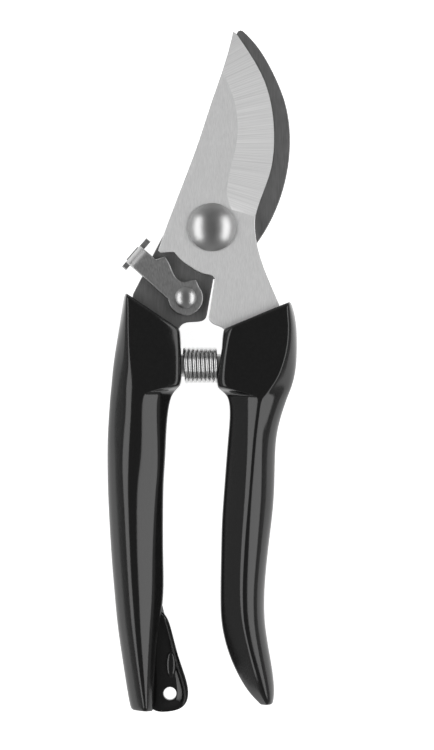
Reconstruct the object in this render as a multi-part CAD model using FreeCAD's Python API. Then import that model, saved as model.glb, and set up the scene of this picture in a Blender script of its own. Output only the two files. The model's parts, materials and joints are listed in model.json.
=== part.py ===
import FreeCAD, Part
import math
import os
from FreeCAD import Vector

# Bypass pruning shears lying on their back, closed and locked, in millimetres.
# +Z up, +Y towards the blade tips, +X towards the handle of the cutting blade.
# Everything is drawn about the pivot axis, with the plane where the two blades
# slide on each other at height 0, and is moved to the middle of its base at the end.

# ---- driving dimensions -------------------------------------------------------------------
blade_thickness = 3.0        # cutting blade, a stainless plate
hook_thickness = 3.1         # counter blade, the hook
slide_gap = 0.05             # between parts that slide flat on each other
edge_thickness = 0.3         # what the grinding leaves at the cutting edge
plate_edge = 0.25            # rounding of the plates' outlines
boss_radius = 13.5           # round boss of the cutting blade about the pivot
hook_boss_radius = 12.0      # round boss of the hook

pivot_radius = 4.0           # shoulder of the pivot bolt
pivot_flat = 3.2             # half width across its two flats, in the hook
pivot_thread = 3.0           # radius of its thread behind the hook
running_gap = 0.05           # radial clearance of a turning fit
dome_radius = 7.2            # domed head of the pivot bolt
dome_height = 3.5
dome_rim = 0.5               # straight rim under the dome
washer_radius = 6.2
washer_thickness = 0.6
nut_across_flats = 10.0
nut_height = 3.3
insert_height = 1.1          # pocket for the nylon ring at the nut's outer end
insert_radius = 3.9
insert_sunk = 0.1            # ring's face inside the nut's end
nut_bevel = 0.7              # rise of the bevel round the nut's outer end
thread_chamfer = 0.5
washer_gap = 0.2             # washer's bore round the thread
washer_chamfer = 0.15

lever_thickness = 1.6
lever_boss = 5.25            # radius of the lever's eye
lever_round = 0.4            # stamped rounding along the lever's upper edge
rivet_radius = 2.0           # lock rivet's shank
rivet_head_radius = 3.25
rivet_head_height = 1.7
rivet_head_rim = 0.4
rivet_tail_radius = 3.0
rivet_tail_height = 1.0
rivet_tail_rim = 0.3
spring_washer_radius = 3.7   # dished washer under the lever
spring_washer_sheet = 0.25
spring_washer_dish = 0.15
rivet_place = Vector(-7.9, -21.1, 0)
neck_width = 6.5             # width of the lever where it bends down to the thumb tab
neck_straight = 1.9          # parallel sides before the bend
tab_bend = 2.0               # inner radius of the bend
tab_drop = 6.6               # end of the tab below the lever's upper face
tab_bar = 11.4               # length of the tab's cross bar
tab_shift = 0.6              # its middle is this far off the neck's middle line
tab_bar_height = 2.8
tab_corner = 0.5             # rounding of the cross bar's ends
lip_length = 5.2             # rolled lip along the tab's lower edge, outside
lip_height = 0.9
lip_reach = 0.5

coat = 1.0                   # vinyl coat on the handles
grip_half = 7.2              # half the thickness of a grip
shoulder_half = 6.9          # half the thickness of a handle's shoulder
ear_half = 2.0               # half the thickness of the hanging ear
ear_round = 0.6              # rounding of the ear's rim
ear_root = -21.0             # how far the ear reaches into the grip
ear_clear = -15.5            # its rim is rounded only on this side of here
hole_radius = 2.0            # hanging hole, through the coat
hole_place = Vector(-12.6, -139.6, 0)
tang_rivet_radius = 1.75
tang_rivet_proud = 0.25

spring_wire = 1.1            # wire diameter
spring_radius = 4.85         # to the middle of the wire
spring_turns = 7.0
spring_y = -41.3
stud_radius = 3.4            # stud that holds the end of the spring
stud_length = 3.0            # out of the coat
stud_depth = 1.6             # into the core
stud_chamfer = 0.5
seat_gap = 0.1               # spring's end to the shoulder it bears on

# ---- levels -------------------------------------------------------------------------------
hook_top = -slide_gap
hook_bottom = hook_top - hook_thickness
head_bottom = blade_thickness + slide_gap
washer_bottom = hook_bottom - washer_thickness
nut_bottom = washer_bottom - nut_height
lever_bottom = hook_top + spring_washer_sheet + spring_washer_dish + slide_gap
lever_top = lever_bottom + lever_thickness

# ---- outlines, about the pivot ------------------------------------------------------------
# cutting blade
blade_tip = (6.3, 58.8)
cutting_edge = [(7.1, 58.4), (11.8, 51.4), (15.7, 44.0), (18.0, 35.3), (18.6, 27.6),
                (17.5, 16.9), (14.4, 8.1), (12.95, 3.2)]
blade_side = [(12.95, 3.2), (12.95, -1.5), (15.6, -12.2), (20.0, -22.8)]
blade_tang = [(20.0, -22.8), (21.3, -27.5), (20.8, -36.0), (17.0, -47.0), (14.2, -60.0),
              (10.6, -60.0), (8.4, -47.0), (6.2, -36.0), (3.6, -30.6)]
blade_stop = [(3.6, -30.6), (1.7, -29.5), (0.0, -28.7), (-1.0, -27.0)]
blade_hollow = [(-3.6, -13.5), (-1.7, -14.1), (-0.3, -14.4), (0.8, -15.4)]
step_inner = (-11.6, -7.45)
step_outer = (-15.3, -7.7)
spine = [(-16.15, -7.1), (-13.7, 0.0), (-4.2, 25.2), (0.15, 38.4), (3.0, 46.6), (6.3, 58.8)]
# the grinding runs from this line, which leaves the plate near the tip, to the cutting edge
grind_line = [(6.0, 5.2), (4.6, 9.6), (5.6, 17.5), (7.3, 25.0), (7.4, 34.0), (3.0, 46.6), (-2.2, 55.0)]
grind_edge = [(12.95, 3.2), (14.6, 8.4), (17.4, 16.4), (18.6, 25.4), (17.8, 36.4), (11.6, 51.8), (6.0, 60.0)]

# hook
hook_outer = [(9.3, 59.0), (14.1, 53.7), (18.7, 45.7), (21.9, 37.6), (23.4, 27.6),
              (22.6, 16.9), (19.4, 5.9), (13.6, -4.5)]
hook_tip = [(7.3, 58.0), (8.3, 59.2), (9.3, 59.0)]
hook_inner = [(7.3, 58.0), (11.6, 49.5), (14.8, 39.0), (15.9, 28.5), (14.4, 17.5)]
hook_heel = (10.2, -11.2)
hook_corner = (0.4, -15.4)
hook_stop = [(-1.5, -26.0), (-2.5, -27.7), (-5.8, -28.3), (-10.0, -30.6)]
hook_tang = [(-10.0, -30.6), (-12.2, -36.0), (-13.2, -47.0), (-20.0, -62.0), (-24.0, -62.0),
             (-26.0, -47.0), (-25.6, -30.0), (-23.6, -19.7)]

# lock lever, locked
lever_scallop = [(-14.1, -8.75), (-12.3, -11.8), (-10.3, -15.4), (-8.6, -16.3), (-6.9, -16.0), (-4.7, -15.7)]
lever_dip = [(-16.6, -9.5), (-15.7, -9.2), (-14.9, -8.9), (-14.1, -8.75)]
tab_foot = Vector(-21.07, -10.13, 0)  # middle of the line where the neck begins to bend
tab_way = Vector(-0.757, 0.653, 0).normalize()    # from the lever's eye out to the tab

# handle sections: (y, outer side, crest, inner side, share of grip_half)
hook_grip = [(-38.0, -28.2, -23.6, -12.2, 0.90), (-50.0, -30.1, -23.6, -12.7, 0.98),
             (-66.0, -31.2, -23.0, -13.7, 1.0), (-82.0, -30.9, -23.6, -14.3, 1.0),
             (-98.0, -30.1, -23.6, -14.6, 1.0), (-112.0, -29.0, -22.6, -14.3, 0.97),
             (-124.0, -27.7, -21.8, -16.2, 0.92), (-134.0, -26.2, -21.0, -17.3, 0.86),
             (-145.0, -23.9, -20.0, -17.4, 0.80)]
blade_grip = [(-38.0, 25.0, 20.5, 5.6, 0.90), (-50.0, 22.9, 16.2, 5.9, 0.98),
              (-58.0, 20.3, 13.9, 5.4, 1.0), (-66.0, 19.2, 12.3, 4.9, 1.0),
              (-78.0, 19.1, 11.6, 3.8, 1.0), (-94.0, 17.4, 10.4, 2.9, 1.0),
              (-110.0, 15.9, 9.9, 2.5, 0.99), (-122.0, 16.3, 10.9, 3.2, 0.95),
              (-131.0, 18.1, 12.8, 6.2, 0.88), (-138.0, 19.0, 14.6, 10.0, 0.76),
              (-142.2, 18.7, 16.0, 13.3, 0.56), (-144.2, 17.3, 16.6, 15.9, 0.16)]
# corners of a grip's section, as shares of its reach to each side and of its half thickness
side_level = 0.18
ridge_share = 0.42
ridge_level = 0.86
crest_outward = 0.10
crest_inward = 0.16
panel_share = 0.70
hook_panel_drop = 0.40
blade_panel_drop = 0.52
tight_share = 0.16           # bevels, as shares of the section's smallest reach
wide_share = 0.22
# corners of a shoulder's section
slope_reach = 3.4            # long slope outwards
slope_level = 0.22
round_reach = 3.6            # rounding inwards
corner_reach = 0.7
corner_level = 0.80
face_level = 0.35
shoulder_bevel = 1.0
round_bevel = 1.6
face_bevel = 0.6
# shoulder sections: (y, outer side, inner side)
hook_shoulder = [(-14.0, -25.2, -10.0), (-22.0, -26.4, -9.8), (-30.0, -27.8, -9.5),
                 (-38.0, -29.0, -9.2), (-46.8, -29.2, -9.4), (-48.6, -29.2, -10.6)]
blade_shoulder = [(-14.0, 22.6, 4.7), (-22.0, 23.9, 4.1), (-29.0, 25.6, 3.4),
                  (-37.0, 25.8, 2.8), (-47.4, 22.3, 1.5), (-49.2, 21.4, 2.4)]
hook_mouth = [(-25.2, -19.7), (-9.4, -30.4)]
blade_mouth = [(3.3, -30.4), (23.3, -22.4)]
ear_edge = [(-14.6, -110.0), (-12.5, -118.8), (-9.2, -130.8), (-7.55, -137.0)]
ear_corner = [(-7.55, -137.0), (-8.6, -142.2), (-13.2, -144.8)]
tang_rivets = {"hook": [(-19.0, -32.5), (-19.0, -43.0)], "blade": [(13.2, -33.0), (12.6, -43.0)]}
far = 60.0                   # reach of a cutting tool past the part


def point(xy, z=0.0):
    return Vector(xy[0], xy[1], z)


def line(a, b):
    return Part.LineSegment(point(a), point(b)).toShape()


def lines(points):
    return [line(a, b) for a, b in zip(points, points[1:])]


def smooth(points, z=0.0):
    """Edge of one smooth curve through the points."""
    curve = Part.BSplineCurve()
    curve.interpolate([point(p, z) for p in points])
    return curve.toShape()


def arc(a, middle, b):
    return Part.Arc(point(a), point(middle), point(b)).toShape()


def on_boss(degrees, radius=boss_radius):
    turn = math.radians(degrees)
    return (radius * math.cos(turn), radius * math.sin(turn))


def plate(edges, bottom, top):
    """Solid of a closed outline between two heights."""
    wire = Part.Wire(Part.__sortEdges__(edges))
    wire.translate(Vector(0, 0, bottom))
    return Part.Face(wire).extrude(Vector(0, 0, top - bottom))


def post(place, radius, bottom, top):
    return Part.makeCylinder(radius, top - bottom, Vector(place.x, place.y, bottom))


def level_edges(solid, height, skip=lambda middle: False):
    """Edges of a solid that lie wholly at one height."""
    found = []
    for edge in solid.Edges:
        box = edge.BoundBox
        flat = abs(box.ZMin - height) < 1e-4 and abs(box.ZMax - height) < 1e-4
        if flat and not skip(edge.CenterOfMass):
            found.append(edge)
    return found


def turned(profile, place):
    """Solid of revolution about an upright axis from (radius, height) corners."""
    ring = [Vector(r, 0, z) for r, z in profile]
    face = Part.Face(Part.makePolygon(ring + ring[:1]))
    solid = face.revolve(Vector(0, 0, 0), Vector(0, 0, 1), 360)
    solid.translate(Vector(place.x, place.y, 0))
    return solid


def domed(place, radius, rim, height, bottom):
    """Low dome on a short straight rim."""
    rise = height - rim
    ball = (radius ** 2 + rise ** 2) / (2 * rise)
    foot = Vector(0, 0, bottom)
    over = math.asin(radius / ball) / 2
    half_way = Vector(ball * math.sin(over), 0, bottom + height - ball + ball * math.cos(over))
    edges = [Part.LineSegment(foot, Vector(radius, 0, bottom)).toShape(),
             Part.LineSegment(Vector(radius, 0, bottom), Vector(radius, 0, bottom + rim)).toShape(),
             Part.Arc(Vector(radius, 0, bottom + rim), half_way, Vector(0, 0, bottom + height)).toShape(),
             Part.LineSegment(Vector(0, 0, bottom + height), foot).toShape()]
    solid = Part.Face(Part.Wire(edges)).revolve(Vector(0, 0, 0), Vector(0, 0, 1), 360)
    solid.translate(Vector(place.x, place.y, 0))
    return solid


# ---- blades -------------------------------------------------------------------------------
def grinding():
    """Everything above the ground bevel, from the grind line down to the cutting edge."""
    past = 1.15
    drop = (blade_thickness - edge_thickness) * past
    beyond = [(a[0] + (b[0] - a[0]) * past, a[1] + (b[1] - a[1]) * past)
              for a, b in zip(grind_line, grind_edge)]
    high = smooth(grind_line, blade_thickness)
    low = smooth(beyond, blade_thickness - drop)
    return Part.makeRuledSurface(high, low).extrude(Vector(0, 0, 2 * blade_thickness))


def cutting_blade():
    boss_start, boss_end = on_boss(243), on_boss(215)
    edges = lines([blade_tip, cutting_edge[0]])
    edges += [smooth(cutting_edge), smooth(blade_side)]
    edges += lines(blade_tang)
    edges += [smooth(blade_stop)]
    edges += lines([blade_stop[-1], blade_hollow[-1]])
    edges += [smooth([boss_start] + blade_hollow), arc(boss_start, on_boss(229), boss_end)]
    edges += lines([boss_end, step_inner, step_outer, spine[0]])
    edges += [smooth(spine)]
    solid = plate(edges, 0, blade_thickness)
    solid = solid.cut(grinding())
    rim = level_edges(solid, blade_thickness, lambda m: m.x > 1.5 and m.y > 4.0 or m.y < -31.0)
    solid = solid.makeFillet(plate_edge, rim)
    solid = solid.cut(post(Vector(0, 0, 0), pivot_radius + running_gap, -1, blade_thickness + 1))
    return cut_all(solid, [post(point(p), tang_rivet_radius, -1, blade_thickness + 1)
                           for p in tang_rivets["blade"]])


def hook_blade():
    left_boss, right_boss = on_boss(153, hook_boss_radius), on_boss(46.5, hook_boss_radius)
    edges = [smooth(hook_tip), smooth(hook_outer), arc(hook_outer[-1], hook_heel, hook_corner)]
    edges += lines([hook_corner, hook_stop[0]])
    edges += [smooth(hook_stop)]
    edges += lines(hook_tang + [left_boss])
    edges += [arc(left_boss, on_boss(110, hook_boss_radius), right_boss)]
    edges += [smooth(hook_inner + [right_boss])]
    solid = plate(edges, hook_bottom, hook_top)
    rim = level_edges(solid, hook_top, lambda m: m.y < -31.0 or m.x < -24.0)
    rim += level_edges(solid, hook_bottom, lambda m: m.y < -31.0 or m.x < -24.0)
    solid = solid.makeFillet(plate_edge, rim)
    solid = solid.cut(bolt_neck(hook_bottom - 1, hook_top + 1))
    solid = solid.cut(post(rivet_place, rivet_radius, hook_bottom - 1, hook_top + 1))
    return cut_all(solid, [post(point(p), tang_rivet_radius, hook_bottom - 1, hook_top + 1)
                           for p in tang_rivets["hook"]])


def cut_all(solid, tools):
    for tool in tools:
        solid = solid.cut(tool)
    return solid


# ---- pivot --------------------------------------------------------------------------------
def bolt_neck(bottom, top):
    """Shoulder of the bolt with two flats, which stop it turning in the hook."""
    neck = post(Vector(0, 0, 0), pivot_radius, bottom, top)
    flats = Part.makeBox(2 * pivot_flat, 4 * pivot_radius, top - bottom,
                         Vector(-pivot_flat, -2 * pivot_radius, bottom))
    return neck.common(flats)


def pivot_bolt():
    axis = Vector(0, 0, 0)
    solid = domed(axis, dome_radius, dome_rim, dome_height, head_bottom)
    solid = solid.fuse(post(axis, pivot_radius, hook_top, head_bottom))
    solid = solid.fuse(bolt_neck(hook_bottom, hook_top))
    thread = turned([(0, hook_bottom), (pivot_thread, hook_bottom),
                     (pivot_thread, nut_bottom + thread_chamfer),
                     (pivot_thread - thread_chamfer, nut_bottom), (0, nut_bottom)], axis)
    return solid.fuse(thread).removeSplitter()


def pivot_washer():
    ring = post(Vector(0, 0, 0), washer_radius, washer_bottom, hook_bottom)
    ring = ring.makeChamfer(washer_chamfer, level_edges(ring, washer_bottom))
    return ring.cut(post(Vector(0, 0, 0), pivot_thread + washer_gap, washer_bottom - 1, hook_bottom + 1))


def pivot_nut():
    corner = nut_across_flats / math.sqrt(3)
    corners = [on_boss(60 * k + 30, corner) for k in range(7)]
    solid = plate(lines(corners), nut_bottom, washer_bottom)
    cone = turned([(0, nut_bottom), (corner - 2 * nut_bevel, nut_bottom), (corner, nut_bottom + nut_bevel),
                   (corner, washer_bottom), (0, washer_bottom)], Vector(0, 0, 0))
    solid = solid.common(cone)
    solid = solid.cut(post(Vector(0, 0, 0), pivot_thread, nut_bottom - 1, washer_bottom + 1))
    return solid.cut(post(Vector(0, 0, 0), insert_radius, nut_bottom - 1, nut_bottom + insert_height))


def nut_insert():
    ring = post(Vector(0, 0, 0), insert_radius, nut_bottom + insert_sunk, nut_bottom + insert_height)
    return ring.cut(post(Vector(0, 0, 0), pivot_thread, nut_bottom - 1, washer_bottom))


# ---- lock ---------------------------------------------------------------------------------
def lever_plate():
    """Flat of the lever, from its eye to the line where the neck bends."""

    def on_eye(degrees):
        turn = math.radians(degrees)
        return (rivet_place.x + lever_boss * math.cos(turn), rivet_place.y + lever_boss * math.sin(turn))

    half_foot = Vector(0, 0, 1).cross(tab_way) * (neck_width / 2)
    back = tab_way * neck_straight
    low, high = tab_foot + half_foot, tab_foot - half_foot
    foot = [(p.x, p.y) for p in (low - back, low, high, high - back)]
    edges = lines(foot)
    edges += [smooth([foot[-1]] + lever_dip), smooth(lever_scallop)]
    edges += [line(lever_scallop[-1], on_eye(38)), arc(on_eye(38), on_eye(-70), on_eye(185))]
    edges += [line(on_eye(185), foot[0])]
    solid = plate(edges, lever_bottom, lever_top)
    rim = level_edges(solid, lever_top, lambda m: (m - tab_foot - Vector(0, 0, lever_top)).Length < 0.01)
    return solid.makeFillet(lever_round, rim)


def neck_face():
    """Section across the neck in its own frame, x outwards and y across, at the start of the bend."""
    half = neck_width / 2
    tool = Part.makeBox(1, neck_width, lever_thickness, Vector(0, -half, lever_bottom))
    upper = [e for e in tool.Edges if abs(e.CenterOfMass.z - lever_top) < 1e-6 and e.Length < 1.001]
    tool = tool.makeFillet(lever_round, upper)
    return next(f for f in tool.Faces if abs(f.CenterOfMass.x) < 1e-6 and abs(f.normalAt(0, 0).x) > 0.99)


def thumb_tab():
    """The lever's end, bent down and widened to a cross bar with a small lip along its lower edge."""
    outer = tab_bend + lever_thickness
    bend = neck_face().revolve(Vector(0, 0, lever_top - outer), Vector(0, 1, 0), 90)
    bottom = lever_top - tab_drop
    end = next(f for f in bend.Faces if abs(f.CenterOfMass.z - lever_top + outer) < 1e-6)
    neck = end.extrude(Vector(0, 0, tab_drop - outer) * -1)
    bar = Part.makeBox(lever_thickness, tab_bar, tab_bar_height,
                       Vector(tab_bend, -tab_bar / 2 - tab_shift, bottom))
    bar = bar.makeFillet(tab_corner, [e for e in bar.Edges if abs(e.tangentAt(e.FirstParameter).x) > 0.99])
    lip = Part.makeBox(lip_reach, lip_length, lip_height, Vector(outer, -lip_length / 2, bottom))
    rolled = [e for e in lip.Edges if abs(e.CenterOfMass.x - outer - lip_reach) < 1e-6]
    lip = lip.makeFillet(lip_reach / 2, rolled)
    tab = bend.fuse([neck, bar, lip])
    side = Vector(0, 0, 1).cross(tab_way)
    tab.Placement = FreeCAD.Placement(tab_foot, FreeCAD.Rotation(tab_way, side, Vector(0, 0, 1), "XYZ"))
    return tab


def lock_lever():
    solid = lever_plate().fuse(thumb_tab()).removeSplitter()
    return solid.cut(post(rivet_place, rivet_radius + running_gap, lever_bottom - 1, lever_top + 1))


def lock_rivet():
    head_foot = lever_top + slide_gap
    solid = domed(rivet_place, rivet_head_radius, rivet_head_rim, rivet_head_height, head_foot)
    solid = solid.fuse(post(rivet_place, rivet_radius, hook_bottom, head_foot))
    tail = domed(rivet_place, rivet_tail_radius, rivet_tail_rim, rivet_tail_height, 0)
    tail.rotate(rivet_place, Vector(1, 0, 0), 180)
    tail.translate(Vector(0, 0, hook_bottom))
    return solid.fuse(tail).removeSplitter()


def lock_spring_washer():
    inner = rivet_radius + running_gap
    return turned([(inner, hook_top + spring_washer_dish),
                   (inner, hook_top + spring_washer_dish + spring_washer_sheet),
                   (spring_washer_radius, hook_top + spring_washer_sheet),
                   (spring_washer_radius, hook_top)], rivet_place)


# ---- handles ------------------------------------------------------------------------------
def section(y, corners):
    """Closed smooth section across a handle, symmetric about height 0, from (x, z, bevel) corners."""
    below = [(x, -z, bevel) for x, z, bevel in reversed(corners)]
    ring = [(Vector(x, y, z), bevel) for x, z, bevel in corners + below]
    outline = []
    for k, (here, bevel) in enumerate(ring):
        back = ring[k - 1][0] - here
        ahead = ring[(k + 1) % len(ring)][0] - here
        outline.append(here + back * min(bevel / back.Length, 0.3))
        outline.append(here + ahead * min(bevel / ahead.Length, 0.3))
        outline.append(here + ahead * 0.5)
    curve = Part.BSplineCurve()
    curve.interpolate(Points=outline, PeriodicFlag=True)
    return Part.Wire(curve.toShape())


def grip_section(station, inset, drop_inner):
    """Section of a grip: a narrow crest, a long flank to the inner side and a short one outwards."""
    y, outer, crest, inner, share = station
    out = 1 if outer > inner else -1
    outer -= out * inset
    inner += out * inset
    half = grip_half * share - inset
    reach_out, reach_in = abs(outer - crest), abs(crest - inner)
    small = min(reach_out, reach_in, half)
    tight, wide = tight_share * small, wide_share * small
    corners = [(outer, side_level * half, tight),
               (crest + out * ridge_share * reach_out, ridge_level * half, wide),
               (crest + out * crest_outward * reach_out, half, tight),
               (crest - out * crest_inward * reach_in, half, tight),
               (crest - out * panel_share * reach_in, (1 - drop_inner) * half, wide),
               (inner, side_level * half, tight)]
    return section(y, corners)


def shoulder_section(station, inset):
    """Section of a shoulder: flat faces, a long slope outwards and a short rounding inwards."""
    y, outer, inner = station
    out = 1 if outer > inner else -1
    outer -= out * inset
    inner += out * inset
    half = shoulder_half - inset
    corners = [(outer, slope_level * half, shoulder_bevel),
               (outer - out * slope_reach, half, shoulder_bevel),
               (inner + out * round_reach, half, round_bevel),
               (inner + out * corner_reach, corner_level * half, shoulder_bevel),
               (inner, face_level * half, face_bevel)]
    return section(y, corners)


def loft(wires):
    return Part.makeLoft(wires, True, False)


def mouth_cut(mouth, inset):
    """Everything ahead of a handle's mouth."""
    a, b = point(mouth[0]), point(mouth[1])
    along = (b - a).normalize()
    ahead = Vector(-along.y, along.x, 0)
    a = a - ahead * inset
    corners = [a - along * far, a + along * far, a + along * far + ahead * far, a - along * far + ahead * far]
    return plate(Part.makePolygon(corners + corners[:1]).Edges, -far, far)


def ear(inset):
    """Flat ear with the hanging hole, along the inner side of the hook's handle."""
    side = [(x - inset, y) for x, y in ear_edge]
    slant = inset * math.sqrt(0.5)
    corner = [side[-1], (ear_corner[1][0] - slant, ear_corner[1][1] + slant),
              (ear_corner[2][0], ear_corner[2][1] + inset)]
    edges = [smooth(side), arc(*corner)]
    edges += lines([corner[-1], (ear_root, corner[-1][1]), (ear_root, side[0][1]), side[0]])
    half = ear_half - inset
    solid = plate(edges, -half, half)
    if inset == 0:
        round_edges = [e for z in (-half, half) for e in level_edges(solid, z, lambda m: m.x < ear_clear)]
        solid = solid.makeFillet(ear_round, round_edges)
    return solid


def handle(grip, shoulder, mouth, drop_inner, inset):
    """Solid outer shape of a handle, drawn in by inset on every side."""
    stations = list(grip)
    if inset:
        stations = [s for s in stations if s[4] * grip_half > 3 * inset and abs(s[1] - s[3]) > 4 * inset]
        y, *rest = stations[-1]
        stations[-1] = (y + inset, *rest)
    top = loft([shoulder_section(s, inset) for s in shoulder[:-1]]
               + [shoulder_section((shoulder[-1][0] + inset, *shoulder[-1][1:]), inset)])
    top = top.cut(mouth_cut(mouth, inset))
    return top.fuse(loft([grip_section(s, inset, drop_inner) for s in stations]))


def spring_side(shoulder, y):
    """x of a shoulder's inner side at a place along the handle."""
    for low, high in zip(shoulder, shoulder[1:]):
        if high[0] <= y <= low[0]:
            share = (y - low[0]) / (high[0] - low[0])
            return low[2] + share * (high[2] - low[2])
    raise ValueError("the spring lies off its shoulder")


def spring_stud(shoulder, way):
    """Stud pressed into a handle's core, with a bevelled end inside the spring."""
    root = spring_side(shoulder, spring_y) - way * (coat + stud_depth)
    stud = Part.makeCylinder(stud_radius, stud_depth + coat + stud_length,
                             Vector(root, spring_y, 0), Vector(way, 0, 0))
    tip = root + way * (stud_depth + coat + stud_length)
    return stud.makeChamfer(stud_chamfer, [e for e in stud.Edges if abs(e.CenterOfMass.x - tip) < 0.01])


def core_and_coat(grip, shoulder, mouth, drop_inner, fixed, with_ear):
    """Cast core and vinyl coat of one handle, around the pieces fixed in it."""
    outside = handle(grip, shoulder, mouth, drop_inner, 0)
    inside = handle(grip, shoulder, mouth, drop_inner, coat)
    if with_ear:
        outside = outside.fuse(ear(0))
        inside = inside.fuse(ear(coat))
    coat_solid = cut_all(outside.cut(inside), fixed)
    core = cut_all(inside, fixed)
    if with_ear:
        core = core.cut(post(hole_place, hole_radius + coat, -far, far))
        hole_wall = post(hole_place, hole_radius + coat, -ear_half, ear_half)
        coat_solid = coat_solid.fuse(hole_wall).cut(post(hole_place, hole_radius, -far, far))
    return core, coat_solid


def tang_rivet(place):
    """Rivet through a tang, its countersunk heads standing a little out of the core."""
    end = shoulder_half - coat + tang_rivet_proud
    rim = end - 2 * tang_rivet_proud
    neck = rim - tang_rivet_radius
    head_radius = 2 * tang_rivet_radius
    return turned([(0, -end), (head_radius, -end), (head_radius, -rim), (tang_rivet_radius, -neck),
                   (tang_rivet_radius, neck), (head_radius, rim), (head_radius, end), (0, end)], point(place))


# ---- spring -------------------------------------------------------------------------------
def return_spring():
    """Compression spring between the shoulders, along X, clear of them over its whole height."""
    reach = spring_radius + spring_wire / 2
    heights = (spring_y - reach, spring_y + reach)
    room = seat_gap + spring_wire / 2
    left = max(spring_side(hook_shoulder, y) for y in heights) + room
    right = min(spring_side(blade_shoulder, y) for y in heights) - room
    coil = Part.makeHelix((right - left) / spring_turns, right - left, spring_radius)
    start = coil.Edges[0].valueAt(coil.Edges[0].FirstParameter)
    ring = Part.Wire(Part.Circle(start, Vector(0, 1, 0), spring_wire / 2).toShape())
    wire = Part.Wire(coil).makePipeShell([ring], True, True)
    wire.rotate(Vector(0, 0, 0), Vector(0, 0, 1), 180)
    wire.rotate(Vector(0, 0, 0), Vector(0, 1, 0), 90)
    wire.translate(Vector(left, spring_y, 0))
    return wire


def build():
    blade, hook = cutting_blade(), hook_blade()
    parts = {"cutting_blade": blade, "hook_blade": hook}
    sides = {"hook": (hook, hook_grip, hook_shoulder, hook_mouth, hook_panel_drop, 1),
             "blade": (blade, blade_grip, blade_shoulder, blade_mouth, blade_panel_drop, -1)}
    for side, (tang, grip, shoulder, mouth, drop_inner, way) in sides.items():
        stud = spring_stud(shoulder, way)
        rivets = [tang_rivet(place) for place in tang_rivets[side]]
        core, skin = core_and_coat(grip, shoulder, mouth, drop_inner, [tang, stud] + rivets, side == "hook")
        parts[side + "_handle_core"] = core
        parts[side + "_handle_coat"] = skin
        parts[side + "_spring_stud"] = stud
        for end, rivet in zip(("front", "rear"), rivets):
            parts["%s_tang_rivet_%s" % (side, end)] = rivet
    parts["pivot_bolt"] = pivot_bolt()
    parts["pivot_washer"] = pivot_washer()
    parts["pivot_nut"] = pivot_nut()
    parts["nut_insert"] = nut_insert()
    parts["lock_lever"] = lock_lever()
    parts["lock_rivet"] = lock_rivet()
    parts["lock_spring_washer"] = lock_spring_washer()
    parts["return_spring"] = return_spring()
    return parts


def main():
    parts = build()
    box = Part.makeCompound(list(parts.values())).optimalBoundingBox(False, False)
    origin = Vector((box.XMin + box.XMax) / 2, (box.YMin + box.YMax) / 2, box.ZMin)
    os.makedirs("parts", exist_ok=True)
    for name, solid in parts.items():
        solid.translate(origin * -1)
        solid.exportStep("parts/%s.step" % name)
        facts = (name, len(solid.Solids), solid.isValid(), solid.Volume)
        print("%-20s %d solids, valid %s, %.1f mm3" % facts)
    print("origin about the pivot: %.4f %.4f %.4f" % (origin.x, origin.y, origin.z))
    print("size: %.2f x %.2f x %.2f" % (box.XLength, box.YLength, box.ZLength))


main()
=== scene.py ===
import bmesh
import bpy
import json
import math
from mathutils import Matrix, Vector
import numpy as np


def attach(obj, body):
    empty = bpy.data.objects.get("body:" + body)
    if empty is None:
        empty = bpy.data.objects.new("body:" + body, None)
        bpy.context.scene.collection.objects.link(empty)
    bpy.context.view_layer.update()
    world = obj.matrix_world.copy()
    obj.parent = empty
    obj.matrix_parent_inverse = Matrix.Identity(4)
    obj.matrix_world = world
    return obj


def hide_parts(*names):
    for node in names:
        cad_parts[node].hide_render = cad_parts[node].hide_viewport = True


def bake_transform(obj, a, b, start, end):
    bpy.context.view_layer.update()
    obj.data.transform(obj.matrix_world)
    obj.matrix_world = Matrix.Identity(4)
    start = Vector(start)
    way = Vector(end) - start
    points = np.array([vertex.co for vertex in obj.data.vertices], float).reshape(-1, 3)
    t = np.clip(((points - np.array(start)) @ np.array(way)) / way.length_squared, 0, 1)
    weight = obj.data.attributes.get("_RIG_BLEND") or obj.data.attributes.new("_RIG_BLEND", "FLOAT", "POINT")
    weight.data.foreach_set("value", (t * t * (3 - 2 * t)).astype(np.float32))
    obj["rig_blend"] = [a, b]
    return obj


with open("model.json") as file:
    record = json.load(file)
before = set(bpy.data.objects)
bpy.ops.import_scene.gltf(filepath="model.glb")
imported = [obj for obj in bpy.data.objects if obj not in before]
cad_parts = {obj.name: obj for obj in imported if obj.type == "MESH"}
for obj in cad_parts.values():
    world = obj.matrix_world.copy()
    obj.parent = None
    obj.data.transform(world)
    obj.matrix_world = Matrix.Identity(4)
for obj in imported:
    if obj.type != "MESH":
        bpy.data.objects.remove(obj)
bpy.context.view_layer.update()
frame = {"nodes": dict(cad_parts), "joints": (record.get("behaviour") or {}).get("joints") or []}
mm = 0.001
weld = 1e-6  # points closer than this, in metres, are merged

pivot = Vector(next(j["pos_m"] for j in frame["joints"] if j["name"] == "blade_pivot"))
rivetPlace = Vector(next(j["pos_m"] for j in frame["joints"] if j["name"] == "lock_swing"))
print("frame loaded, pivot at", [round(v, 4) for v in pivot])


def place(x, y, z=0.0):
    # millimetres about the pivot, in the plane where the blades slide
    return pivot + Vector((x, y, z)) * mm


def newMaterial(name):
    material = bpy.data.materials.new(name)
    material.use_nodes = True
    tree = material.node_tree
    return material, tree.nodes, tree.links, tree.nodes["Principled BSDF"]


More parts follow.
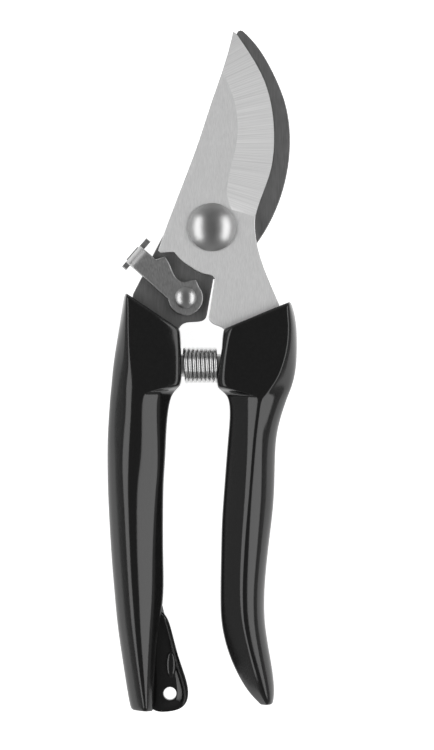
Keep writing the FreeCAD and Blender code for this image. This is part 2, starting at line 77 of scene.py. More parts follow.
def stretchedNoise(nodes, links, scale, detail, turn=0.0, source=None):
    if source is None:
        source = nodes.new("ShaderNodeTexCoord").outputs["Object"]
    mapping = nodes.new("ShaderNodeMapping")
    mapping.inputs["Scale"].default_value = scale
    mapping.inputs["Rotation"].default_value = (0, 0, turn)
    noise = nodes.new("ShaderNodeTexNoise")
    noise.inputs["Scale"].default_value = 1.0
    noise.inputs["Detail"].default_value = detail
    links.new(source, mapping.inputs["Vector"])
    links.new(mapping.outputs["Vector"], noise.inputs["Vector"])
    return noise.outputs["Fac"]


# the part of a noise's range over which roughness and colour change
noiseSpan = {"rough": (0.3, 0.7), "colour": (0.25, 0.75)}


def ranged(nodes, links, value, low, high):
    node = nodes.new("ShaderNodeMapRange")
    node.inputs["From Min"].default_value = noiseSpan["rough"][0]
    node.inputs["From Max"].default_value = noiseSpan["rough"][1]
    node.inputs["To Min"].default_value = low
    node.inputs["To Max"].default_value = high
    links.new(value, node.inputs["Value"])
    return node.outputs["Result"]


def mathNode(nodes, links, operation, a, b):
    node = nodes.new("ShaderNodeMath")
    node.operation = operation
    for socket, value in zip(node.inputs, (a, b)):
        if isinstance(value, (int, float)):
            socket.default_value = value
        else:
            links.new(value, socket)
    return node.outputs[0]


def greyRamp(nodes, links, value, dark, light, tint=(1.0, 1.0, 1.0)):
    node = nodes.new("ShaderNodeValToRGB")
    for stop, position, grey in zip(node.color_ramp.elements, noiseSpan["colour"], (dark, light)):
        stop.position = position
        stop.color = [grey * t for t in tint] + [1]
    links.new(value, node.inputs["Fac"])
    return node.outputs["Color"]


def addBump(nodes, links, shader, height, strength, distance):
    bump = nodes.new("ShaderNodeBump")
    bump.inputs["Strength"].default_value = strength
    bump.inputs["Distance"].default_value = distance
    links.new(height, bump.inputs["Height"])
    links.new(bump.outputs["Normal"], shader.inputs["Normal"])


# grain is the number of noise cells in a metre, along x, y and z
grainHeight = 0.00003
grainDetail = 4.0
steelLook = {
    "blade": {"dark": 0.69, "light": 0.84, "rough": (0.46, 0.54), "grain": (7000, 600, 60),
              "bump": 0.15, "anisotropy": 0.75},
    "hook": {"dark": 0.19, "light": 0.26, "rough": (0.45, 0.55), "grain": (5000, 300, 60),
             "bump": 0.15, "anisotropy": 0.3},
    "lever": {"dark": 0.36, "light": 0.52, "rough": (0.36, 0.46), "grain": (3500, 900, 200),
              "bump": 0.15, "anisotropy": 0.2},
    "fastener": {"dark": 0.45, "light": 0.58, "rough": (0.30, 0.42), "grain": (900, 900, 900),
                 "bump": 0.1, "anisotropy": 0.0},
}


def spreadHighlight(nodes, links, shader, amount):
    # the brushed grain stretches the highlight; its tangent lies along x
    shader.inputs["Anisotropic"].default_value = amount
    way = nodes.new("ShaderNodeCombineXYZ")
    way.inputs[0].default_value = 1.0
    links.new(way.outputs[0], shader.inputs["Tangent"])


def brushedSteel(name, look, turn=0.0):
    material, nodes, links, shader = newMaterial(name)
    shader.inputs["Metallic"].default_value = 1.0
    grain = stretchedNoise(nodes, links, look["grain"], grainDetail, turn)
    colour = greyRamp(nodes, links, grain, look["dark"], look["light"])
    links.new(colour, shader.inputs["Base Color"])
    links.new(ranged(nodes, links, grain, *look["rough"]), shader.inputs["Roughness"])
    addBump(nodes, links, shader, grain, look["bump"], grainHeight)
    spreadHighlight(nodes, links, shader, look["anisotropy"])
    return material


# the marks are rays about a centre in mm: marks scales their noise around it and stretch scales it
# along x; the bevel is where the upward part of the normal lies between the two values of lean
grinding = {"centre": (-39.4, 23.8), "marks": 520, "stretch": 60, "scale": 0.55,
            "dark": 0.58, "light": 0.82, "lean": (0.90, 0.996)}


def grindingMarks(nodes, links, coords):
    split = nodes.new("ShaderNodeSeparateXYZ")
    links.new(coords, split.inputs[0])
    centre = place(*grinding["centre"])
    dx = mathNode(nodes, links, "SUBTRACT", split.outputs[0], centre.x)
    dy = mathNode(nodes, links, "SUBTRACT", split.outputs[1], centre.y)
    angle = mathNode(nodes, links, "ARCTAN2", dy, dx)
    join = nodes.new("ShaderNodeCombineXYZ")
    links.new(mathNode(nodes, links, "MULTIPLY", angle, grinding["marks"]), join.inputs[0])
    links.new(mathNode(nodes, links, "MULTIPLY", dx, grinding["stretch"]), join.inputs[1])
    marks = nodes.new("ShaderNodeTexNoise")
    marks.inputs["Scale"].default_value = grinding["scale"]
    marks.inputs["Detail"].default_value = grainDetail
    links.new(join.outputs[0], marks.inputs["Vector"])
    return marks.outputs["Fac"]


def bevelMask(nodes, links):
    facing = nodes.new("ShaderNodeNewGeometry")
    lean = nodes.new("ShaderNodeSeparateXYZ")
    links.new(facing.outputs["True Normal"], lean.inputs[0])
    steepest, flattest = grinding["lean"]
    leaning = mathNode(nodes, links, "LESS_THAN", lean.outputs[2], flattest)
    shallow = mathNode(nodes, links, "GREATER_THAN", lean.outputs[2], steepest)
    return mathNode(nodes, links, "MULTIPLY", leaning, shallow)


def groundBladeSteel():
    # flat faces carry grain along the blade, the bevel carries grinding marks square to the edge
    look = steelLook["blade"]
    material, nodes, links, shader = newMaterial("groundBladeSteel")
    shader.inputs["Metallic"].default_value = 1.0
    coords = nodes.new("ShaderNodeTexCoord").outputs["Object"]
    grain = stretchedNoise(nodes, links, look["grain"], grainDetail, 0.0, coords)
    marks = grindingMarks(nodes, links, coords)
    onBevel = bevelMask(nodes, links)

    pattern = nodes.new("ShaderNodeMix")
    links.new(onBevel, pattern.inputs["Factor"])
    links.new(grain, pattern.inputs["A"])
    links.new(marks, pattern.inputs["B"])
    chosen = pattern.outputs["Result"]
    links.new(ranged(nodes, links, chosen, *look["rough"]), shader.inputs["Roughness"])
    addBump(nodes, links, shader, chosen, look["bump"], grainHeight)

    colour = nodes.new("ShaderNodeMix")
    colour.data_type = "RGBA"
    links.new(onBevel, colour.inputs["Factor"])
    links.new(greyRamp(nodes, links, grain, look["dark"], look["light"]), colour.inputs[6])
    links.new(greyRamp(nodes, links, marks, grinding["dark"], grinding["light"]), colour.inputs[7])
    links.new(colour.outputs[2], shader.inputs["Base Color"])
    spreadHighlight(nodes, links, shader, look["anisotropy"])
    return material


polish = {"cloud": (300, 300, 300), "detail": 2.0, "darker": 0.96, "rough": (0.94, 1.06)}


def polishedSteel(name, base, rough):
    material, nodes, links, shader = newMaterial(name)
    shader.inputs["Metallic"].default_value = 1.0
    cloud = stretchedNoise(nodes, links, polish["cloud"], polish["detail"])
    colour = greyRamp(nodes, links, cloud, base * polish["darker"], base)
    links.new(colour, shader.inputs["Base Color"])
    smoother, rougher = polish["rough"]
    worn = ranged(nodes, links, cloud, rough * smoother, rough * rougher)
    links.new(worn, shader.inputs["Roughness"])
    return material


vinylLook = {"ior": 1.5, "waves": (70, 45, 70), "pores": (1600, 1600, 1600), "detail": 2.0,
             "dark": 0.008, "light": 0.012, "rough": (0.13, 0.19), "bump": 0.10, "waveHeight": 0.0002}


def glossyVinyl():
    look = vinylLook
    material, nodes, links, shader = newMaterial("glossyBlackVinyl")
    shader.inputs["IOR"].default_value = look["ior"]
    waves = stretchedNoise(nodes, links, look["waves"], look["detail"])
    pores = stretchedNoise(nodes, links, look["pores"], look["detail"])
    colour = greyRamp(nodes, links, pores, look["dark"], look["light"])
    links.new(colour, shader.inputs["Base Color"])
    links.new(ranged(nodes, links, pores, *look["rough"]), shader.inputs["Roughness"])
    addBump(nodes, links, shader, waves, look["bump"], look["waveHeight"])
    return material


fleckLook = {"grain": (900, 900, 900), "shade": (0.9, 1.1), "rough": (0.9, 1.15)}


def plainMaterial(name, colour, rough, metallic=0.0):
    material, nodes, links, shader = newMaterial(name)
    shader.inputs["Metallic"].default_value = metallic
    fleck = stretchedNoise(nodes, links, fleckLook["grain"], grainDetail)
    flecked = greyRamp(nodes, links, fleck, *fleckLook["shade"], colour)
    links.new(flecked, shader.inputs["Base Color"])
    smoother, rougher = fleckLook["rough"]
    worn = ranged(nodes, links, fleck, rough * smoother, rough * rougher)
    links.new(worn, shader.inputs["Roughness"])
    return material


finishes = {
    "cutting_blade": groundBladeSteel(),
    "hook_blade": brushedSteel("satinHookSteel", steelLook["hook"]),
    "lock_lever": brushedSteel("stampedLeverSteel", steelLook["lever"], math.radians(40)),
    "fastener": brushedSteel("zincPlatedSteel", steelLook["fastener"]),
    "dome": polishedSteel("polishedPivotSteel", 0.48, 0.34),
    "wire": polishedSteel("springWire", 0.62, 0.22),
    "cast": plainMaterial("castAluminium", (0.5, 0.51, 0.52), 0.5, 1.0),
    "nylon": plainMaterial("blueNylon", (0.05, 0.09, 0.3), 0.45),
    "vinyl": glossyVinyl(),
}
nodeFinish = {
    "cutting_blade": "cutting_blade", "hook_blade": "hook_blade", "lock_lever": "lock_lever",
    "pivot_washer": "fastener", "pivot_nut": "fastener", "nut_insert": "nylon",
    "lock_spring_washer": "wire", "hook_handle_core": "cast", "blade_handle_core": "cast",
    "hook_spring_stud": "fastener", "blade_spring_stud": "fastener",
    "hook_tang_rivet_front": "fastener", "hook_tang_rivet_rear": "fastener",
    "blade_tang_rivet_front": "fastener", "blade_tang_rivet_rear": "fastener",
}
for node, finish in nodeFinish.items():
    mesh = frame["nodes"][node].data
    mesh.materials.clear()
    mesh.materials.append(finishes[finish])
print("finishes made:", len(finishes))


# edges that turn by less than this many degrees are smooth
smoothBelow = {"turned": 40.0, "moulded": 180.0}


def finishPiece(bm, name, finish, body, replaced, smoothing="turned"):
    bmesh.ops.recalc_face_normals(bm, faces=bm.faces)
    for face in bm.faces:
        face.smooth = True
    for edge in bm.edges:
        edge.smooth = edge.calc_face_angle(0.0) < math.radians(smoothBelow[smoothing])
    mesh = bpy.data.meshes.new(name)
    bm.to_mesh(mesh)
    bm.free()
    piece = bpy.data.objects.new(name, mesh)
    bpy.context.scene.collection.objects.link(piece)
    mesh.materials.append(finishes[finish])
    if body:  # a blended piece rides no single body
        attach(piece, body)
    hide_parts(replaced)
    return piece


def subdivide(piece, levels):
    smoother = piece.modifiers.new("smooth", "SUBSURF")
    smoother.levels = levels
    smoother.render_levels = levels


def turnedPiece(centre, profile, steps=96):
    # profile is a list of (radius, height) in mm, from the top of the axis to its bottom
    bm = bmesh.new()
    line = [bm.verts.new(centre + Vector((r, 0, z)) * mm) for r, z in profile]
    edges = [bm.edges.new(pair) for pair in zip(line, line[1:])]
    bmesh.ops.spin(bm, geom=line + edges, cent=centre, axis=(0, 0, 1), angle=math.tau, steps=steps,
                   use_merge=True)
    bmesh.ops.remove_doubles(bm, verts=bm.verts, dist=weld)
    return bm


def domeProfile(radius, rim, height, foot, points=14):
    # part of a ball over a straight rim, from the top down
    rise = height - rim
    ball = (radius ** 2 + rise ** 2) / (2 * rise)
    widest = math.asin(radius / ball)
    arc = [widest * k / points for k in range(points + 1)]
    return [(ball * math.sin(a), foot + height - ball + ball * math.cos(a)) for a in arc]


# one row per section: place along the handle at its outer and inner side, then across it the outer
# side, ridge, near and far end of the crest, end of the panel and the inner side; last come the half
# thickness, how far the ridge and the panel's end lie under the crest, the share of the panel's fall
# reached at its middle, and how fast the outer flank falls
hookCoat = {
    "sections": [
        (-19.6, -30.2, -25.8, -25.2, -24.6, -18.0, -11.2, -10.1, 5.7, 0.3, 1.1, 0.3, 0.40),
        (-20.0, -30.6, -26.2, -25.2, -24.6, -18.0, -10.7, -9.7, 6.5, 0.3, 1.3, 0.25, 0.40),
        (-21.0, -31.3, -26.5, -25.3, -24.7, -18.0, -10.5, -9.5, 6.85, 0.3, 1.45, 0.22, 0.40),
        (-23.5, -32.6, -26.9, -25.3, -24.7, -18.0, -10.4, -9.4, 6.9, 0.3, 1.5, 0.22, 0.40),
        (-28.0, -34.2, -27.6, -25.3, -24.7, -17.5, -10.3, -9.3, 6.9, 0.3, 1.4, 0.25, 0.40),
        (-35.0, -37.2, -28.8, -25.2, -24.6, -16.5, -10.2, -9.2, 6.9, 0.3, 1.1, 0.35, 0.40),
        (-41.0, -41.3, -29.7, -24.9, -24.0, -14.5, -10.2, -9.15, 6.9, 0.35, 0.8, 0.4, 0.40),
        (-45.2, -45.0, -30.1, -25.4, -23.3, -13.6, -10.2, -9.05, 6.9, 0.8, 0.7, 0.5, 0.40),
        (-47.4, -47.0, -30.3, -25.6, -23.3, -13.4, -10.4, -9.3, 6.9, 0.9, 0.8, 0.5, 0.40),
        (-48.3, -47.9, -30.4, -25.7, -23.4, -14.0, -11.2, -9.9, 6.9, 0.95, 1.0, 0.5, 0.40),
        (-49.6, -48.9, -30.5, -25.8, -23.6, -20.0, -15.0, -11.0, 6.95, 1.0, 2.4, 0.5, 0.40),
        (-51.2, -50.6, -30.7, -25.9, -23.8, -21.0, -16.1, -12.4, 7.0, 1.0, 2.4, 0.5, 0.40),
        (-55.9, -55.9, -31.0, -26.1, -24.0, -21.3, -16.3, -13.3, 7.1, 1.1, 2.35, 0.5, 0.40),
        (-62.0, -62.0, -31.4, -26.6, -24.3, -21.3, -16.1, -13.7, 7.15, 1.1, 2.4, 0.5, 0.40),
        (-68.2, -68.2, -31.5, -27.0, -24.6, -21.5, -16.0, -13.9, 7.2, 1.15, 2.5, 0.5, 0.40),
        (-75.0, -75.0, -31.4, -26.9, -24.8, -22.4, -16.2, -14.4, 7.2, 1.0, 2.8, 0.5, 0.40),
        (-80.2, -80.2, -31.3, -26.6, -24.8, -22.8, -16.8, -14.6, 7.2, 0.85, 2.8, 0.5, 0.40),
        (-97.3, -97.3, -30.4, -25.8, -24.3, -22.7, -17.6, -14.7, 7.2, 0.75, 2.4, 0.5, 0.40),
        (-107.6, -107.6, -29.5, -25.2, -23.7, -22.1, -17.5, -14.3, 7.1, 0.75, 2.2, 0.5, 0.40),
        (-115.7, -115.7, -28.8, -24.6, -23.1, -21.8, -18.0, -15.0, 6.95, 0.75, 1.8, 0.5, 0.40),
        (-121.3, -121.3, -28.2, -24.0, -22.7, -21.5, -18.4, -16.3, 6.7, 0.65, 1.5, 0.5, 0.40),
        (-135.1, -135.1, -26.1, -22.1, -21.3, -20.4, -19.2, -17.2, 6.1, 0.4, 0.55, 0.5, 0.40),
        (-142.4, -142.4, -24.9, -20.9, -20.2, -19.8, -19.3, -17.4, 5.75, 0.35, 0.25, 0.5, 0.40),
        (-144.5, -144.7, -24.3, -20.7, -20.1, -19.8, -19.3, -17.6, 5.2, 0.3, 0.2, 0.5, 0.40)],
    "innerSlope": 1.0, "endPush": (0.0, -0.25, 0.0),
}
bladeCoat = {
    "sections": [
        (-22.2, -30.3, 23.4, 22.6, 22.0, 6.6, 5.2, 3.8, 5.7, 0.3, 0.6, 0.5, 0.40),
        (-22.6, -30.7, 23.8, 22.6, 22.0, 6.4, 5.0, 3.4, 6.5, 0.3, 0.6, 0.5, 0.40),
        (-23.7, -31.4, 24.2, 22.7, 22.1, 6.0, 4.8, 3.3, 6.85, 0.3, 0.6, 0.5, 0.40),
        (-26.2, -32.6, 24.9, 22.9, 22.3, 5.6, 4.6, 3.1, 6.9, 0.3, 0.5, 0.5, 0.40),
        (-30.0, -34.2, 25.5, 23.2, 22.6, 5.1, 4.3, 3.0, 6.9, 0.3, 0.4, 0.5, 0.40),
        (-36.0, -37.4, 25.6, 22.8, 22.1, 4.5, 3.8, 2.8, 6.9, 0.3, 0.35, 0.5, 0.40),
        (-41.3, -41.3, 25.4, 21.4, 20.7, 4.1, 3.3, 2.1, 6.9, 0.3, 0.35, 0.5, 0.40),
        (-45.0, -45.0, 24.8, 20.0, 19.3, 3.9, 3.0, 1.5, 6.9, 0.3, 0.35, 0.5, 0.40),
        (-47.8, -47.2, 24.0, 18.2, 17.5, 4.1, 3.1, 1.5, 6.9, 0.3, 0.4, 0.5, 0.40),
        (-50.0, -48.2, 23.1, 17.0, 16.3, 5.6, 3.8, 1.8, 6.9, 0.3, 0.6, 0.5, 0.32),
        (-51.3, -49.2, 22.6, 16.2, 15.2, 14.0, 10.8, 3.2, 6.95, 0.4, 1.5, 0.5, 0.20),
        (-52.8, -51.0, 22.1, 15.3, 14.5, 13.8, 10.6, 5.2, 7.0, 0.45, 1.55, 0.5, 0.17),
        (-56.5, -56.5, 20.8, 15.2, 13.9, 13.2, 10.6, 5.4, 7.1, 0.6, 1.25, 0.5, 0.22),
        (-62.0, -62.0, 19.4, 15.1, 13.2, 12.5, 10.5, 4.9, 7.2, 0.9, 1.0, 0.5, 0.34),
        (-68.0, -68.0, 18.95, 15.0, 12.7, 12.0, 10.4, 4.4, 7.2, 1.05, 0.8, 0.5, 0.40),
        (-80.2, -80.2, 18.8, 14.9, 11.7, 11.1, 9.7, 3.5, 7.2, 1.4, 0.7, 0.5, 0.40),
        (-88.0, -88.0, 18.0, 14.2, 11.2, 10.4, 9.1, 2.9, 7.2, 1.35, 0.65, 0.5, 0.40),
        (-97.3, -97.3, 16.8, 13.5, 10.7, 9.7, 8.5, 2.7, 7.2, 1.25, 0.6, 0.5, 0.40),
        (-107.6, -107.6, 15.8, 12.5, 10.2, 9.2, 8.1, 2.5, 7.15, 1.0, 0.55, 0.5, 0.40),
        (-114.7, -114.7, 15.7, 12.5, 10.3, 9.3, 8.4, 2.5, 7.1, 0.95, 0.5, 0.5, 0.40),
        (-119.5, -119.5, 16.0, 12.8, 10.8, 9.8, 9.0, 2.9, 6.95, 0.85, 0.45, 0.5, 0.40),
        (-126.0, -126.0, 17.0, 13.8, 12.0, 11.2, 10.5, 4.3, 6.6, 0.75, 0.4, 0.5, 0.40),
        (-133.0, -133.0, 18.3, 15.3, 14.0, 13.3, 12.5, 7.1, 6.0, 0.5, 0.3, 0.5, 0.40),
        (-139.3, -139.3, 18.9, 16.7, 15.9, 15.3, 14.4, 10.8, 4.95, 0.4, 0.25, 0.5, 0.40),
        (-142.6, -142.6, 18.4, 17.2, 16.8, 16.3, 16.0, 14.2, 3.4, 0.3, 0.2, 0.5, 0.40)],
    "innerSlope": 0.80, "endPush": (-0.4, -1.0, 0.0),
}
# flank holds pairs: share of the way from the outer side to the ridge, share of the flank's height
coatShape = {"flank": ((0.05, 0.25), (0.20, 0.60), (0.55, 1.0)), "innerLean": 0.04, "innerBelly": 0.5,
             "innerLow": 0.6, "roundShare": 0.25, "roundMost": 0.45,
             "mouthRings": (0.96, 0.6, 0.2), "endRings": (0.85, 0.5, 0.15), "levels": 2}


def sectionCorners(section, coat):
    # the upper half of a section from the outer to the inner side; True marks a corner to be rounded
    outer, ridge, crestOut, crestIn, panel, inner, half, ridgeDrop, panelDrop, bow, flankDrop = section[2:]
    out = 1 if outer > inner else -1
    flank = abs(outer - ridge)
    ridgeHigh = half - ridgeDrop
    flankHigh = ridgeHigh - flankDrop * flank
    panelHigh = half - panelDrop
    reach = abs(panel - inner)
    innerHigh = max(panelHigh - coat["innerSlope"] * reach, coatShape["innerLow"])
    corners = [(outer, 0.0, False)]
    corners += [(outer - out * across * flank, up * flankHigh, False) for across, up in coatShape["flank"]]
    corners += [(ridge, ridgeHigh, True),
                (crestOut, half, True),
                (crestIn, half, True),
                ((crestIn + panel) / 2, half - bow * panelDrop, False),
                (panel, panelHigh, True),
                (inner + out * coatShape["innerLean"] * reach, innerHigh, True),
                (inner, coatShape["innerBelly"] * innerHigh, False),
                (inner, 0.0, False)]
    return corners


def sectionPoints(section, coat):
    upper = sectionCorners(section, coat)
    corners = upper + [(x, -z, rounded) for x, z, rounded in reversed(upper[1:-1])]
    points = []
    for k, (x, z, rounded) in enumerate(corners):
        if not rounded:
            points.append((x, z))
            continue
        for otherX, otherZ, _ in (corners[k - 1], corners[(k + 1) % len(corners)]):
            length = max(math.hypot(otherX - x, otherZ - z), 0.01)  # never zero
            share = min(coatShape["roundShare"], coatShape["roundMost"] / length)
            points.append((x + (otherX - x) * share, z + (otherZ - z) * share))
    alongOuter, alongInner, outer, inner = section[0], section[1], section[2], section[7]
    slant = (alongInner - alongOuter) / (inner - outer)
    return [place(x, alongOuter + (x - outer) * slant, z) for x, z in points]


def ringThrough(bm, points):
    ring = bmesh.ops.create_circle(bm, segments=len(points), radius=1.0)["verts"]
    for vert, point in zip(ring, points):
        vert.co = point
    return ring


def ringEdges(ring):
    members = set(ring)
    return list({e for v in ring for e in v.link_edges if e.other_vert(v) in members})


def capEnd(bm, ring, sizes, push=(0.0, 0.0, 0.0)):
    # closes an end with shrinking rings, each pushed on by its share of push, in mm
    edges = ringEdges(ring)
    centre = sum((v.co for v in ring), Vector()) / len(ring)
    step = Vector(push) * mm / len(sizes)
    last = 1.0
    for size in sizes:
        made = bmesh.ops.extrude_edge_only(bm, edges=edges)["geom"]
        fresh = [g for g in made if isinstance(g, bmesh.types.BMVert)]
        edges = [g for g in made if isinstance(g, bmesh.types.BMEdge) and all(v in fresh for v in g.verts)]
        for vert in fresh:
            vert.co = centre + (vert.co - centre) * (size / last) + step
        last = size
    bmesh.ops.contextual_create(bm, geom=edges)


def makeHandleCoat(name, coat, body, replaced):
    bm = bmesh.new()
    rings = [ringThrough(bm, sectionPoints(section, coat)) for section in coat["sections"]]
    for near, far in zip(rings, rings[1:]):
        bmesh.ops.bridge_loops(bm, edges=ringEdges(near) + ringEdges(far))
    capEnd(bm, rings[0], coatShape["mouthRings"])
    capEnd(bm, rings[-1], coatShape["endRings"], coat["endPush"])
    piece = finishPiece(bm, name, "vinyl", body, replaced, "moulded")
    subdivide(piece, coatShape["levels"])


# sizes in mm; a step of the rim has its shares of the rim's width and height, a ring of the hole its
# radius and height, and the hole is drawn oversize because smoothing draws it in
hangingEar = {
    "outline": [(-19.5, -145.2), (-20.5, -135.0), (-20.5, -126.0), (-20.0, -120.0), (-18.5, -116.0),
                (-15.4, -114.4), (-13.5, -116.6), (-12.5, -119.2), (-11.35, -123.8), (-10.1, -128.6),
                (-8.4, -133.4), (-7.1, -137.6), (-7.0, -141.5), (-8.9, -144.3), (-13.2, -145.3)],
    "levels": 3,
    "half": 2.0,
    "rimHalf": 1.5,
    "rimWidth": 0.35,
    "rimSteps": ((0.4, 0.7), (0.6, 0.3)),
    "faceInsets": (0.2, 0.6),
    "hole": {"centre": (-12.6, -139.6), "rings": ((2.35, 2.0), (2.0, 1.85), (1.9, 1.3), (1.9, 0.0)),
             "oversize": 1.02},
    "pad": {"centre": (-12.3, -131.0), "reach": (1.6, 4.0), "rise": 0.5, "segments": (24, 12)},
    "bead": {"radius": 0.26, "sides": 8, "levels": 2,
             "points": [(-14.6, -116.0), (-13.8, -118.6), (-12.95, -121.4), (-11.6, -126.6),
                        (-10.5, -130.9), (-9.3, -134.5), (-8.2, -138.2), (-7.95, -141.0),
                        (-8.9, -143.0)]},
}


def finishEarPiece(bm, name):
    return finishPiece(bm, name, "vinyl", "hook_side", "hook_handle_coat", "moulded")


def makeHangingEar():
    ear, hole = hangingEar, hangingEar["hole"]
    bm = bmesh.new()
    foot = ringThrough(bm, [place(x, y) for x, y in ear["outline"]])
    made = bmesh.ops.extrude_edge_only(bm, edges=ringEdges(foot))["geom"]
    rim = [g for g in made if isinstance(g, bmesh.types.BMVert)]
    bmesh.ops.translate(bm, verts=rim, vec=(0, 0, ear["rimHalf"] * mm))
    face = bmesh.ops.contextual_create(bm, geom=ringEdges(rim))["faces"]
    rimHeight = ear["half"] - ear["rimHalf"]
    insets = [(across * ear["rimWidth"], up * rimHeight) for across, up in ear["rimSteps"]]
    insets += [(width, 0.0) for width in ear["faceInsets"]]
    for width, height in insets:
        bmesh.ops.inset_region(bm, faces=face, thickness=width * mm, depth=height * mm)
    border = list(face[0].edges)
    bmesh.ops.delete(bm, geom=face, context="FACES_ONLY")
    loops = [border]
    for radius, height in hole["rings"]:
        ring = bmesh.ops.create_circle(bm, segments=len(ear["outline"]),
                                       radius=radius * hole["oversize"] * mm)["verts"]
        bmesh.ops.translate(bm, verts=ring, vec=place(*hole["centre"], height))
        loops.append(ringEdges(ring))
    for near, far in zip(loops, loops[1:]):
        bmesh.ops.bridge_loops(bm, edges=near + far)
    half = bm.verts[:] + bm.edges[:] + bm.faces[:]
    bmesh.ops.mirror(bm, geom=half, matrix=Matrix.Translation((0, 0, -pivot.z)), merge_dist=weld,
                     axis="Z")
    subdivide(finishEarPiece(bm, "hangingEar"), ear["levels"])


def makeEarPad():
    pad = hangingEar["pad"]
    bm = bmesh.new()
    around, up = pad["segments"]
    bmesh.ops.create_uvsphere(bm, u_segments=around, v_segments=up, radius=1.0)
    reach = Vector((*pad["reach"], 2 * pad["rise"])) * mm
    bmesh.ops.scale(bm, verts=bm.verts, vec=reach)
    middle = place(*pad["centre"], hangingEar["half"] - pad["rise"])
    bmesh.ops.translate(bm, verts=bm.verts, vec=middle)
    finishEarPiece(bm, "earPad")


def makeEarBead():
    bead = hangingEar["bead"]
    bm = bmesh.new()
    rings = []
    for x, y in bead["points"]:
        ring = bmesh.ops.create_circle(bm, segments=bead["sides"], radius=bead["radius"] * mm)["verts"]
        for vert in ring:
            vert.co = place(x, y, hangingEar["half"]) + Vector((vert.co.x, 0, vert.co.y))
        rings.append(ring)
    for near, far in zip(rings, rings[1:]):
        bmesh.ops.bridge_loops(bm, edges=ringEdges(near) + ringEdges(far))
    for ring in (rings[0], rings[-1]):
        bmesh.ops.contextual_create(bm, geom=ringEdges(ring))
    subdivide(finishEarPiece(bm, "earBead"), bead["levels"])


makeHandleCoat("hookHandleCoat", hookCoat, "hook_side", "hook_handle_coat")
makeHandleCoat("bladeHandleCoat", bladeCoat, "blade_side", "blade_handle_coat")
makeHangingEar()
makeEarPad()
makeEarBead()
print("coats made")


# heights are from the plane where the blades slide
boltSizes = {"head": 7.2, "rim": 0.5, "headHeight": 3.5, "foot": 3.05, "headEdge": 0.12, "neck": 4.0,
             "neckEnd": -3.15, "thread": 3.0, "end": -7.05, "pitch": 0.8, "depth": 0.35, "plain": 0.6,
             "endTaper": 0.4}
rivetSizes = {"head": 3.25, "rim": 0.4, "headHeight": 1.7, "foot": 2.05, "headEdge": 0.08,
              "shank": 2.0, "back": -3.15, "tail": 3.0, "tailRim": 0.3, "tailHeight": 1.0, "steps": 64}


def makeBolt():
    s = boltSizes
    profile = domeProfile(s["head"], s["rim"], s["headHeight"], s["foot"])
    profile += [(s["head"], s["foot"] + s["headEdge"]), (s["head"] - s["headEdge"], s["foot"]),
                (s["neck"], s["foot"]), (s["neck"], s["neckEnd"]), (s["thread"], s["neckEnd"])]
    height = s["neckEnd"] - s["plain"]
    while height > s["end"] + s["plain"]:
        profile += [(s["thread"], height), (s["thread"] - s["depth"], height - s["pitch"] / 2)]
        height -= s["pitch"]
    profile += [(s["thread"] - s["endTaper"], s["end"]), (0.0, s["end"])]
    bm = turnedPiece(pivot, profile)
    finishPiece(bm, "pivotBolt", "dome", "hook_side", "pivot_bolt")


def makeRivet():
    s = rivetSizes
    profile = domeProfile(s["head"], s["rim"], s["headHeight"], s["foot"])
    profile += [(s["head"] - s["headEdge"], s["foot"]), (s["shank"], s["foot"]),
                (s["shank"], s["back"]), (s["tail"], s["back"])]
    tail = domeProfile(s["tail"], s["tailRim"], s["tailHeight"], 0.0)
    profile += [(r, s["back"] - z) for r, z in reversed(tail)]
    bm = turnedPiece(Vector((rivetPlace.x, rivetPlace.y, pivot.z)), profile, s["steps"])
    finishPiece(bm, "lockRivet", "dome", "hook_side", "lock_rivet")


makeBolt()
makeRivet()
print("bolt and rivet made")


springSizes = {"wire": 0.55, "radius": 4.85, "from": -9.0, "to": 2.3, "along": -41.3, "turns": 8,
               "stepsPerTurn": 40, "ringPoints": 12}


def makeSpring():
    s = springSizes
    bm = bmesh.new()
    start, end = place(s["from"], s["along"]), place(s["to"], s["along"])
    coilStart = place(s["from"] + s["wire"], s["along"])
    ring = bmesh.ops.create_circle(bm, segments=s["ringPoints"], radius=s["wire"] * mm)["verts"]
    for vert in ring:
        vert.co = coilStart + Vector((vert.co.x, 0, vert.co.y)) + Vector((0, 0, -s["radius"] * mm))
    steps = s["turns"] * s["stepsPerTurn"]
    advance = (s["to"] - s["from"] - 2 * s["wire"]) * mm / steps
    bmesh.ops.spin(bm, geom=ring + ringEdges(ring), cent=coilStart, axis=(1, 0, 0),
                   dvec=Vector((advance, 0, 0)), angle=math.tau * s["turns"], steps=steps,
                   use_merge=False)
    loose = [e for e in bm.edges if len(e.link_faces) == 1]
    bmesh.ops.holes_fill(bm, edges=loose, sides=0)
    piece = finishPiece(bm, "returnSpring", "wire", None, "return_spring")
    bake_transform(piece, "hook_side", "blade_side", start, end)
    # all points of a ring of the wire share one weight, so the wire stays round as the coil stretches
    verts, weights = piece.data.vertices, piece.data.attributes["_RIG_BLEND"].data
    for first in range(0, len(verts), s["ringPoints"]):
        ring = range(first, first + s["ringPoints"])
        middle = sum(verts[k].co.x for k in ring) / s["ringPoints"]
        for k in ring:
            weights[k].value = min(max((middle - start.x) / (end.x - start.x), 0.0), 1.0)


makeSpring()
print("spring made")


# middle is in millimetres about the pivot, the other lengths in metres, the angle in degrees from
# straight up
studio = {"middle": (0.0, -44.0), "floorSize": 6.0, "floorGrey": 0.9, "floorRough": 0.9, "floorGlow": 0.85,
          "boxDistance": 0.9, "boxAngle": 50, "boxWidth": 0.42, "boxLength": 1.3, "boxPower": 4.3,
          "ceiling": 0.14, "ceilingFrom": 0.8, "horizon": 0.45}
# in millimetres: where the camera aims, how tall a piece of the scene it sees, its height above it and
# the size of its sensor
cameraView = {"middle": (1.5, -44.2), "tall": 225.0, "distance": 900.0, "sensor": 36.0}


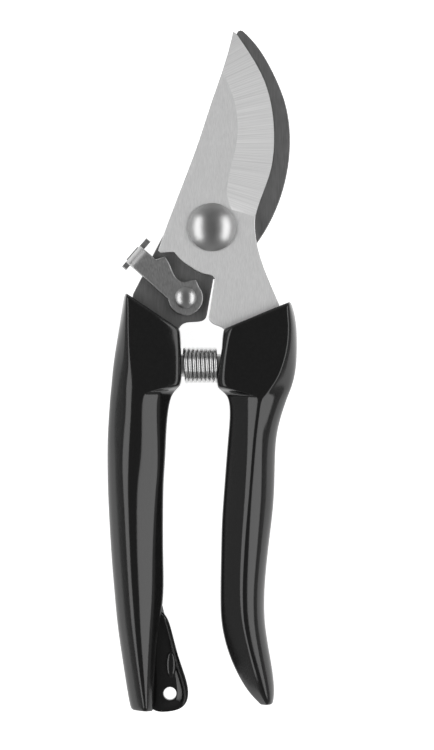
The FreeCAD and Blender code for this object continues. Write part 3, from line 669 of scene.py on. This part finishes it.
def makeFloor():
    bm = bmesh.new()
    bmesh.ops.create_grid(bm, x_segments=1, y_segments=1, size=studio["floorSize"] / 2)
    mesh = bpy.data.meshes.new("floor")
    bm.to_mesh(mesh)
    bm.free()
    floor = bpy.data.objects.new("floor", mesh)
    bpy.context.scene.collection.objects.link(floor)
    material, _, _, shader = newMaterial("paleFloor")
    shader.inputs["Base Color"].default_value = [studio["floorGrey"]] * 3 + [1]
    shader.inputs["Roughness"].default_value = studio["floorRough"]
    shader.inputs["Specular IOR Level"].default_value = 0.0
    shader.inputs["Emission Color"].default_value = (1, 1, 1, 1)
    shader.inputs["Emission Strength"].default_value = studio["floorGlow"]
    mesh.materials.append(material)


def makeSoftbox(name, degrees):
    light = bpy.data.lights.new(name, "AREA")
    light.shape = "RECTANGLE"
    light.size = studio["boxWidth"]
    light.size_y = studio["boxLength"]
    light.energy = studio["boxPower"]
    lamp = bpy.data.objects.new(name, light)
    bpy.context.scene.collection.objects.link(lamp)
    turn = math.radians(degrees)
    away = Vector((math.sin(turn), 0, math.cos(turn))) * studio["boxDistance"]
    lamp.location = place(*studio["middle"]) + away
    lamp.rotation_euler = (0, turn, 0)


def makeWorld():
    # brighter towards the horizon than overhead
    world = bpy.data.worlds.new("studio")
    bpy.context.scene.world = world
    world.use_nodes = True
    nodes, links = world.node_tree.nodes, world.node_tree.links
    coords = nodes.new("ShaderNodeTexCoord")
    split = nodes.new("ShaderNodeSeparateXYZ")
    sky = nodes.new("ShaderNodeValToRGB")
    low, high = sky.color_ramp.elements
    low.position = 0.0
    low.color = [studio["horizon"]] * 3 + [1]
    high.position = studio["ceilingFrom"]
    high.color = [studio["ceiling"]] * 3 + [1]
    links.new(coords.outputs["Generated"], split.inputs[0])
    links.new(split.outputs[2], sky.inputs["Fac"])
    links.new(sky.outputs["Color"], nodes["Background"].inputs["Color"])


def makeCamera():
    camera = bpy.data.cameras.new("camera")
    camera.sensor_width = cameraView["sensor"]
    camera.lens = cameraView["sensor"] * cameraView["distance"] / cameraView["tall"]
    eye = bpy.data.objects.new("camera", camera)
    eye.location = place(*cameraView["middle"], cameraView["distance"])
    bpy.context.scene.collection.objects.link(eye)
    bpy.context.scene.camera = eye


makeFloor()
makeSoftbox("leftSoftbox", -studio["boxAngle"])
makeSoftbox("rightSoftbox", studio["boxAngle"])
makeWorld()
makeCamera()
bpy.context.scene.view_settings.view_transform = "Standard"
print("studio ready")
